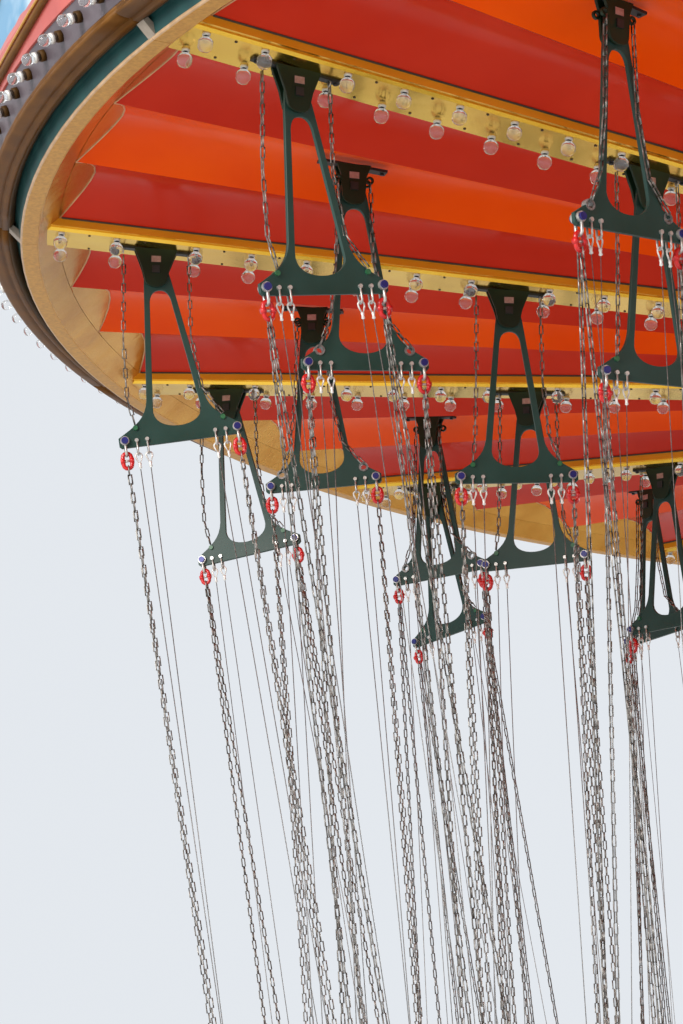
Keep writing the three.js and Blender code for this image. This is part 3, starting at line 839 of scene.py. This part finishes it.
def bracket_shape(middle_row):
    """Mounting plate, two cheeks, pin and bare label plates, about the pin."""
    shape = Shape()
    foot = curve((0.05, -0.04), (0.047, -0.066), (0.03, -0.076), (0, -0.077), 5)
    upper = [(0.076, PIN_DROP), (0.056, 0.05)] if middle_row else [(0.098, PIN_DROP), (0.062, 0.01)]
    cheek = mirrored(upper + foot)
    # The cheeks and the lug rings take the darker green, which is painted shade
    for y in (-0.022, 0.022):
        shape.add(plate(cheek, 0.014, y, bevel=0.0015), "cheek")
        if middle_row:
            for x in (-LUG_X, LUG_X):
                ring = arc((x, LUG_Z), 0.018, 0, 330, 11)
                shape.add(plate(ring, 0.0135, y, [arc((x, LUG_Z), 0.009, 0, 315, 7)], 0.0015), "cheek")
    for turn in (-1, 1):
        shape.add(box((0.034, 0.007, 0.034), (0, turn * 0.0325, 0.004)), "black")
        shape.add(box((0.042, 0.002, 0.028), (0, turn * 0.0305, 0.052)), "label")
        shape.add(box((0.046, 0.001, 0.032), (0, turn * 0.0295, 0.052)), "black")
    shape.add(cylinder(0.0115, (0, -0.026, 0), (0, 0.026, 0), 8), "steel", True)
    slope = Matrix.Rotation(-atan(SWEEP_SLOPE), 4, "Y")
    seat = Matrix.Translation((0, 0, PIN_DROP)) @ slope
    length, width = (0.3, 0.046) if middle_row else (0.38, 0.036)
    shape.add(box((length, width, 0.012), (0, 0, -0.004)), "black", False, seat)
    for turn in (-1, 1):
        x = turn * (length / 2 - 0.018)
        shape.add(cylinder(0.009, (x, 0, -0.008), (x, 0, -0.018), 6), "black", False, seat)
        if not middle_row:
            shape.add(bow(turn * EYE_X, -0.008, -0.03, 0.01, 0.0035), "zinc", True, seat)
    return shape


def make_brackets():
    shape = Shape()
    plain, lugged = bracket_shape(False), bracket_shape(True)
    for joint in frame["joints"]:
        if joint["parent"] != "canopy":
            continue
        x, y, z = joint["pos_m"]
        single = lugged if "middle" in joint["child"] else plain
        add_shape(shape, single, Matrix.Translation((x, y, z)) @ spin(atan2(y, x)))
    put(shape, "hanger_brackets", "canopy", "hanger_green", ["sweep_frame"])


# Ceiling

COVE_STEPS = 8
COVES = 3
WALL_FOOT_R = 6.503
WALL_SLOPE = 1.247
COVE_STATIONS = 9


def make_ceiling():
    """Three arched coves in each bay, red, orange and red, closed on top and ended by gold lunettes."""
    shape = Shape()
    steps = COVES * COVE_STEPS
    for k in range(SWEEPS):
        columns = []
        for i in range(steps + 1):
            height = cove_height(i)
            end = min(WALL_FOOT_R - WALL_SLOPE * height, CEILING_OUTER_R)
            column = []
            for r in np.append(np.linspace(COVE_INNER_R, end, COVE_STATIONS), CEILING_OUTER_R):
                edge = asin((SWEEP_HALF + 0.001) / r)
                angle = k * PITCH + edge + (PITCH - 2 * edge) * i / steps
                rise = height if r <= end else COVE_EDGE
                column.append((r * cos(angle), r * sin(angle), sweep_z(r) + rise))
            columns.append(column)
        for cove in range(COVES):
            finish = "cove_orange" if cove == 1 else "cove_red"
            part = columns[cove * COVE_STEPS:(cove + 1) * COVE_STEPS + 1]
            last = COVE_STATIONS - 1
            shape.add(sheet([column[:last + 1] for column in part]), finish, True)
            shape.add(sheet([column[last:] for column in part]), "gold_wall")
            # A pale strip along the foot of each arch: a painted highlight on the lunette's edge
            arch = [(x, y, z - 0.001) for x, y, z in (column[last] for column in part)]
            shape.add(tube(arch, 0.004, 4), "pale_edge", True)
    put(shape, "ceiling_coves", "canopy", "ceiling_lacquer", ["ceiling"])


PANEL_THICKNESS = 0.012


def sheet(columns):
    """Columns of points joined to a sheet, with a copy of it above."""
    rows = len(columns[0])
    points = [p for column in columns for p in column]
    count = len(points)
    points += [(x, y, z + PANEL_THICKNESS) for x, y, z in points]
    faces = []
    for i in range(len(columns) - 1):
        for j in range(rows - 1):
            quad = (i * rows + j, (i + 1) * rows + j, (i + 1) * rows + j + 1, i * rows + j + 1)
            faces.append(quad[::-1])
            faces.append(tuple(count + v for v in quad))
    return points, faces


def cove_height(i):
    """Height above the underside of the sweeps, arched within each cove."""
    cove, step = divmod(i, COVE_STEPS)
    if cove == COVES:
        cove, step = COVES - 1, COVE_STEPS
    u = 2 * step / COVE_STEPS - 1
    left = COVE_EDGE if cove == 0 else COVE_JOINT
    right = COVE_EDGE if cove == COVES - 1 else COVE_JOINT
    foot = left + (right - left) * (u + 1) / 2
    return foot + (COVE_CROWN - foot) * (1 - abs(u) ** 1.75)


# Rim

RING_GAP = 0.0015
CORNICE_GAP = 0.004


def lengths(shape, profile, finish, gap, rounded=False):
    """A ring in sixteen lengths, each held back by a gap from the middle of the sweep at its end."""
    back = gap / 6.5
    for k in range(SWEEPS):
        shape.add(turned(profile, 12, k * PITCH + back, PITCH - 2 * back), finish, rounded)


def make_rim():
    fascia = Shape()
    fascia.add(turned([(6.4405, 6.288), (6.529, 6.2115), (6.59, 6.22), (6.59, RING_TOP_Z),
                       (6.4405, RING_TOP_Z)], 192), "gold_wall")
    put(fascia, "rim_fascia", "canopy", "ring_gold", ["rim_ring"])
    ring = Shape()
    low = RING_BOTTOM_Z
    sole = [(6.532, 0.05), (6.528, 0.005), (6.536, 0), (6.598, 0), (6.602, 0.001), (6.602, 0.05)]
    # The pale strip along the ring's outer bottom edge is a painted highlight line
    edge = [(6.602, 0.014), (6.602, 0.001), (6.608, 0.003), (6.611, 0.008), (6.611, 0.014)]
    for profile, finish in ((sole, "gold_ring"), (edge, "pale_edge")):
        lengths(ring, [(r, low + z) for r, z in profile], finish, RING_GAP)
    put(ring, "rim_ring_gold", "canopy", "ring_gold", ["rim_ring"])
    recess = Shape()
    recess.add(turned([(6.603, 6.2225), (6.6105, 6.2225), (6.625, 6.288), (6.637, 6.312), (6.637, 6.335),
                       (6.603, 6.335)], 192), "teal")
    strut = plate([(6.6, 6.216), (6.606, 6.214), (6.662, 6.27), (6.662, 6.3), (6.6, 6.25)], 0.06)
    for k in range(SWEEPS):
        recess.add(strut, "strut", False, spin(k * PITCH))
    put(recess, "recess_band", "canopy", "cornice_bronze", ["cornice"])
    make_cornice()


def make_cornice():
    """A moulded bronze cornice in sixteen lengths."""
    shape = Shape()
    # The foot beside the teal recess is in the darker bronze, as painted shade for the shadowed gap there
    foot = [(6.638, 6.335), (6.638, 6.309)]
    foot += curve((6.64, 6.303), (6.643, 6.283), (6.655, 6.27), (6.668, 6.268), 4)
    foot += [(6.668, 6.335)]
    lengths(shape, foot, "bronze_dark", CORNICE_GAP, True)
    profile = [(6.6685, 6.335), (6.6685, 6.268), (6.692, 6.2685), (6.696, 6.279), (6.705, 6.279)]
    profile += curve((6.707, 6.2745), (6.735, 6.276), (6.757, 6.28), (6.765, 6.288), 4)
    profile += [(6.758, 6.3), (6.758, 6.306)]
    profile += curve((6.76, 6.308), (6.766, 6.314), (6.762, 6.322), (6.752, 6.326), 3)
    profile += [(6.748, 6.332), (6.748, CORNICE_TOP_Z), (6.638, CORNICE_TOP_Z), (6.638, 6.3355)]
    lengths(shape, profile, "bronze", CORNICE_GAP, True)
    put(shape, "cornice_moulding", "canopy", "cornice_bronze", ["cornice"])


def on_rim(angle, z, proud):
    """A point that stands proud of the boards, whose foot slopes in below BOARD_FOOT_Z."""
    r = BOARD_R - BOARD_FOOT_SLOPE * max(0.0, BOARD_FOOT_Z - z) + proud
    return (r * cos(angle), r * sin(angle), z)


def make_boards():
    """Lamp band, red boards and framed panels round the outside."""
    band = Shape()
    foot_r, foot_z = BAND_FOOT
    band.add(turned([(6.7, foot_z + 0.001), (foot_r, foot_z + 0.001), (BAND_TOP_R, CORNICE_TOP_Z),
                     (6.7, CORNICE_TOP_Z)], 192), "mauve")
    put(band, "lamp_band", "canopy", "board_paint", ["cornice"])
    lamps = Shape()
    across, up = BAND_TOP_R - foot_r, CORNICE_TOP_Z - foot_z
    out = Matrix.Rotation(-atan2(up, across), 4, "Y")
    seat = along(foot_r + across / 2, foot_z + up / 2) @ out
    for i in range(BAND_LAMPS):
        socket_lamp(lamps, spin((i + 0.5) * TURN / BAND_LAMPS) @ seat)
    put(lamps, "band_lamps", "canopy", "board_paint")
    boards = Shape()
    boards.add(turned([(BOARD_INNER_R, CORNICE_TOP_Z + 0.0005), (6.812, CORNICE_TOP_Z + 0.0005),
                       (BOARD_R, BOARD_FOOT_Z), (BOARD_R, BOARD_TOP_Z), (BOARD_INNER_R, BOARD_TOP_Z)], 192),
               "board_red")
    boards.add(hoop(BOARD_R, BOARD_TOP_Z - 0.016, 0.016, 192), "bronze", True)
    put(boards, "boards_red", "canopy", "board_paint", ["rounding_boards"])
    panels = Shape()
    half, low, high = 0.44 * PITCH, CORNICE_TOP_Z + 0.036, BOARD_TOP_Z - 0.1
    middle = (low + high) / 2
    outline = panel_outline(half, high - middle)
    for k in range(SWEEPS):
        centre = (k + 0.5) * PITCH
        path = [on_rim(centre + a, middle + z, 0.006) for a, z in outline]
        panels.add(tube(path, 0.0175, 6, True), "bronze", True)
        inside = [on_rim(centre + a * 0.95, middle + z * 0.93, 0.008) for a, z in outline]
        panels.add(tube(inside, 0.007, 5, True), "gold_ring", True)
        panels.add(panel_face(outline, centre, middle), "sky", True)
        rosette(panels, centre, middle)
        stud = spin((k + 1) * PITCH) @ along(BOARD_R + 0.004, middle) @ Matrix.Diagonal((0.35, 1, 1, 1))
        panels.add(globe(0.055, (0, 0, 0), 12, 8), "gold_ring", True, stud)
    put(panels, "board_panels", "canopy", "board_paint")


def panel_outline(half, tall):
    """An oblong with scooped corners and bowed long edges, as angle and height from its middle."""
    scoop, bow_rise, steps = 0.17, 0.075, 10
    scoop_angle = scoop / BOARD_R
    points = []
    for sx, sz, first in ((1, 1, 270), (-1, 1, 360), (-1, -1, 90), (1, -1, 180)):
        corner = (sx * half, sz * (tall - bow_rise))
        for t in np.radians(np.linspace(first, first - 90, 6)):
            points.append((corner[0] + scoop_angle * cos(t), corner[1] + scoop * sin(t)))
        if sx != sz:
            continue
        reach = half - scoop_angle
        for share in np.linspace(sx, -sx, steps + 2)[1:-1]:
            points.append((share * reach, sz * (tall - bow_rise * share**2)))
    return points


def panel_face(outline, centre, middle):
    """The painted ground of a panel, as rings that shrink to its middle."""
    rings = [1.0, 0.75, 0.5, 0.25]
    points = [on_rim(centre + a * s, middle + z * s, 0.003) for s in rings for a, z in outline]
    n = len(outline)
    faces = []
    for i in range(len(rings) - 1):
        for a in range(n):
            b = (a + 1) % n
            faces.append((i * n + a, i * n + b, (i + 1) * n + b, (i + 1) * n + a))
    points.append(on_rim(centre, middle, 0.003))
    last = (len(rings) - 1) * n
    faces.extend((last + a, last + (a + 1) % n, len(points) - 1) for a in range(n))
    return points, faces


def rosette(shape, centre, middle):
    """A plain ring and eight petals in the middle of a panel."""
    matrix = spin(centre) @ along(BOARD_R + 0.004, middle)
    shape.add(upright_ring((0.006, 0, 0), 0.13, 0.007, 24), "gold_ring", True, matrix)
    for i in range(8):
        petal = matrix @ Matrix.Rotation(i * pi / 4, 4, "X") @ along(0, 0.066)
        form = globe(0.05, (0, 0, 0), 6, 4)
        shape.add(form, "cream", True, petal @ Matrix.Diagonal((0.16, 0.42, 1, 1)))


# Roof and finial

def make_roof():
    """Canvas gores that sag a little between ribs, in two colours."""
    shape = Shape()
    gores, steps, across = 32, 8, 6
    eave_z = BOARD_TOP_Z + 0.052
    for g in range(gores):
        finish = "cream" if g % 2 else "canvas_red"
        points = []
        for layer in (0, 1):
            for i in range(steps + 1):
                u = i / steps
                r = EAVE_R - 0.01 + (ROOF_CENTRE_R - EAVE_R) * u
                z = eave_z + (ROOF_CENTRE_Z - eave_z) * u
                dip = 0.035 * sin(pi * u)
                for j in range(across + 1):
                    s = j / across
                    angle = (g + s) * TURN / gores
                    sag = dip * (0.4 + sin(pi * s))
                    points.append((r * cos(angle), r * sin(angle), z - sag - 0.012 * layer))
        count = (steps + 1) * (across + 1)
        faces = []
        for i in range(steps):
            for j in range(across):
                a = i * (across + 1) + j
                quad = (a, a + 1, a + across + 2, a + across + 1)
                faces.append(quad)
                faces.append(tuple(count + v for v in reversed(quad)))
        shape.add((points, faces), finish, True)
    for k in range(SWEEPS):
        foot = (EAVE_R - 0.03, 0, BOARD_TOP_Z + 0.05)
        top = (ROOF_CENTRE_R, 0, ROOF_CENTRE_Z - 0.005)
        shape.add(cylinder(0.016, foot, top, 6), "gold_ring", True, spin(k * PITCH))
    eave = [(-0.3, 0.003), (-0.02, 0.003), (0, 0.015), (0, 0.045), (-0.02, 0.055), (-0.3, 0.06)]
    shape.add(turned([(EAVE_R + r, BOARD_TOP_Z + z) for r, z in eave], 192), "bronze")
    put(shape, "roof_canvas", "canopy", "roof_sheet", ["roof"])
    top = Shape()
    profile = [(0, 0), (0.5, 0.07), (0.515, 0.09), (0.5, 0.115), (0.3, 0.15), (0.215, 0.2)]
    profile += curve((0.2, 0.21), (0.14, 0.25), (0.11, 0.28), (0.12, 0.33), 4)
    profile += curve((0.13, 0.34), (0.22, 0.38), (0.25, 0.5), (0.13, 0.6), 7)
    profile += [(0.1, 0.625), (0.115, 0.64), (0.085, 0.67), (0.03, 0.99), (0, 1.0)]
    top.add(turned([(r, FINIAL_Z + z) for r, z in profile], 48), "gold_ring", True)
    put(top, "finial_turned", "canopy", "mast_gold", ["finial"])


# Centre column

FEET = 8
# A foot beam's flanges, web, end plate, stiffener and pads: size, middle along X and Z, finish
FOOT_BEAM = (((1.3, 0.22, 0.02), 2.05, 0.29, "dark_red"), ((1.3, 0.22, 0.02), 2.05, 0.07, "dark_red"),
             ((1.9, 0.03, 0.2), 1.75, 0.18, "dark_red"), ((0.02, 0.22, 0.24), 2.69, 0.18, "dark_red"),
             ((0.02, 0.2, 0.2), 2.1, 0.18, "dark_red"), ((0.52, 0.52, 0.03), 2.44, 0.015, "steel"),
             ((0.34, 0.34, 0.03), 2.44, 0.045, "steel"))


def make_column():
    """Base frame and drum, mast, bearing and the turning hub, with mouldings and ribs."""
    drum = Shape()
    profile = [(0, 0.3), (1.5, 0.3), (1.5, 0.4), (1.47, 0.44), (1.44, 0.45), (1.44, 1.03), (1.47, 1.05),
               (1.5, 1.07), (1.5, 1.13), (1.49, 1.15), (0, 1.15)]
    drum.add(turned(profile, 96), "dark_red")
    for z in (0.455, 1.02):
        drum.add(hoop(1.445, z, 0.014, 96), "gold_ring", True)
    for k in range(SWEEPS):
        turn = spin((k + 0.5) * PITCH)
        frame_path = [(1.452, y, z) for y, z in ((-0.21, 0.54), (0.21, 0.54), (0.21, 0.94), (-0.21, 0.94))]
        drum.add(tube(frame_path, 0.01, 4, True), "gold_ring", False, turn)
        boss = turn @ along(1.446, 0.74) @ Matrix.Diagonal((0.3, 1, 1.6, 1))
        drum.add(globe(0.05, (0, 0, 0), 10, 6), "gold_ring", True, boss)
    put(drum, "drum_clad", "root", "drum_paint", ["base_drum"])
    mast = Shape()
    profile = [(0, 1.15), (0.72, 1.15), (0.72, 1.22), (0.7, 1.26)]
    profile += curve((0.69, 1.28), (0.68, 1.36), (0.57, 1.38), (0.56, 1.46), 5)
    profile += [(0.55, 1.47), (0.55, 4.77)]
    profile += curve((0.56, 4.79), (0.57, 4.88), (0.64, 4.92), (0.66, 4.96), 5)
    profile += [(0.66, 5.0), (0, 5.0)]
    mast.add(turned(profile, 64), "cream", True)
    for k in range(SWEEPS):
        mast.add(cylinder(0.022, (0.552, 0, 1.47), (0.552, 0, 4.78), 6), "gold_ring", True, spin(k * PITCH))
        pane = box((0.008, 0.15, 0.95))
        for z in (2.05, 3.12, 4.19):
            mast.add(pane, "gold_mirror", False, spin((k + 0.5) * PITCH) @ along(0.547, z))
    put(mast, "mast_clad", "root", "mast_gold", ["mast"])
    bearing = Shape()
    profile = [(0.4, 5.0003), (0.7, 5.0003), (0.7, 5.04), (0.685, 5.045), (0.685, 5.06), (0.7, 5.065),
               (0.7, 5.11), (0.4, 5.11)]
    bearing.add(turned(profile, 96), "steel")
    for i in range(36):
        bearing.add(cylinder(0.012, (0.69, 0, 5.02), (0.712, 0, 5.02), 6), "black", False,
                    spin(i * pi / 18))
    put(bearing, "bearing_steel", "root", "bearing_steel", ["slewing_bearing"])
    hub = Shape()
    profile = [(0, 5.1105), (0.7, 5.1105), (0.74, 5.13), (0.8, 5.18), (0.82, 5.2), (0.82, 5.66),
               (0.8, 5.69), (0.74, 5.7), (0.74, 6.5), (0.44, 6.7), (0.44, FINIAL_Z), (0, FINIAL_Z)]
    hub.add(turned(profile, 64), "gold_side")
    for z in (5.22, 5.64):
        hub.add(hoop(0.822, z, 0.014, 64), "gold_ring", True)
    for k in range(SWEEPS):
        hub.add(box((0.01, 0.2, 0.32), (0.823, 0, 5.43)), "gold_mirror", False, spin((k + 0.5) * PITCH))
    put(hub, "hub_clad", "canopy", "mast_gold", ["hub_drum"])
    base = Shape()
    for k in range(FEET):
        turn = spin(k * TURN / FEET)
        for size, x, z, finish in FOOT_BEAM:
            base.add(box(size, (x, 0, z)), finish, False, turn)
        for x in (2.26, 2.62):
            for y in (-0.18, 0.18):
                base.add(cylinder(0.022, (x, y, 0.03), (x, y, 0.055), 6), "zinc", False, turn)
    base.add(flat_ring(0, 1.42, 0.06, 0.3), "dark_red")
    put(base, "base_steel", "root", "base_paint", ["base_frame"])


# Stage

def area_light(name, place_at, target, size, power, colour=(1, 1, 1)):
    data = bpy.data.lights.new(name, "AREA")
    data.size = size
    data.energy = power
    data.color = colour
    light = bpy.data.objects.new(name, data)
    light.location = place_at
    light.rotation_euler = (Vector(target) - Vector(place_at)).to_track_quat("-Z", "Y").to_euler()
    bpy.context.scene.collection.objects.link(light)


def make_stage():
    reach = 120
    mesh = bpy.data.meshes.new("floor")
    mesh.from_pydata([(-reach, -reach, 0), (reach, -reach, 0), (reach, reach, 0), (-reach, reach, 0)], [],
                     [(0, 1, 2, 3)])
    mesh.materials.append(MATERIALS["floor"])
    floor = bpy.data.objects.new("floor", mesh)
    floor.location.z = -0.001
    bpy.context.scene.collection.objects.link(floor)
    world = bpy.data.worlds.new("studio")
    world.use_nodes = True
    set_inputs(world.node_tree.nodes["Background"], {"Color": (0.86, 0.9, 0.95, 1), "Strength": 0.9})
    bpy.context.scene.world = world
    area_light("key", (-14, -22, 13), (0, 0, 5), 9, 5200, (1.0, 0.97, 0.92))
    area_light("fill", (20, -8, 8), (0, 0, 4), 12, 2200)
    area_light("back", (4, 24, 12), (0, 0, 6), 10, 2600)
    bpy.context.scene.view_settings.view_transform = "Standard"


make_swings()
make_sweeps()
make_brackets()
make_ceiling()
make_rim()
make_boards()
make_roof()
make_column()
make_stage()
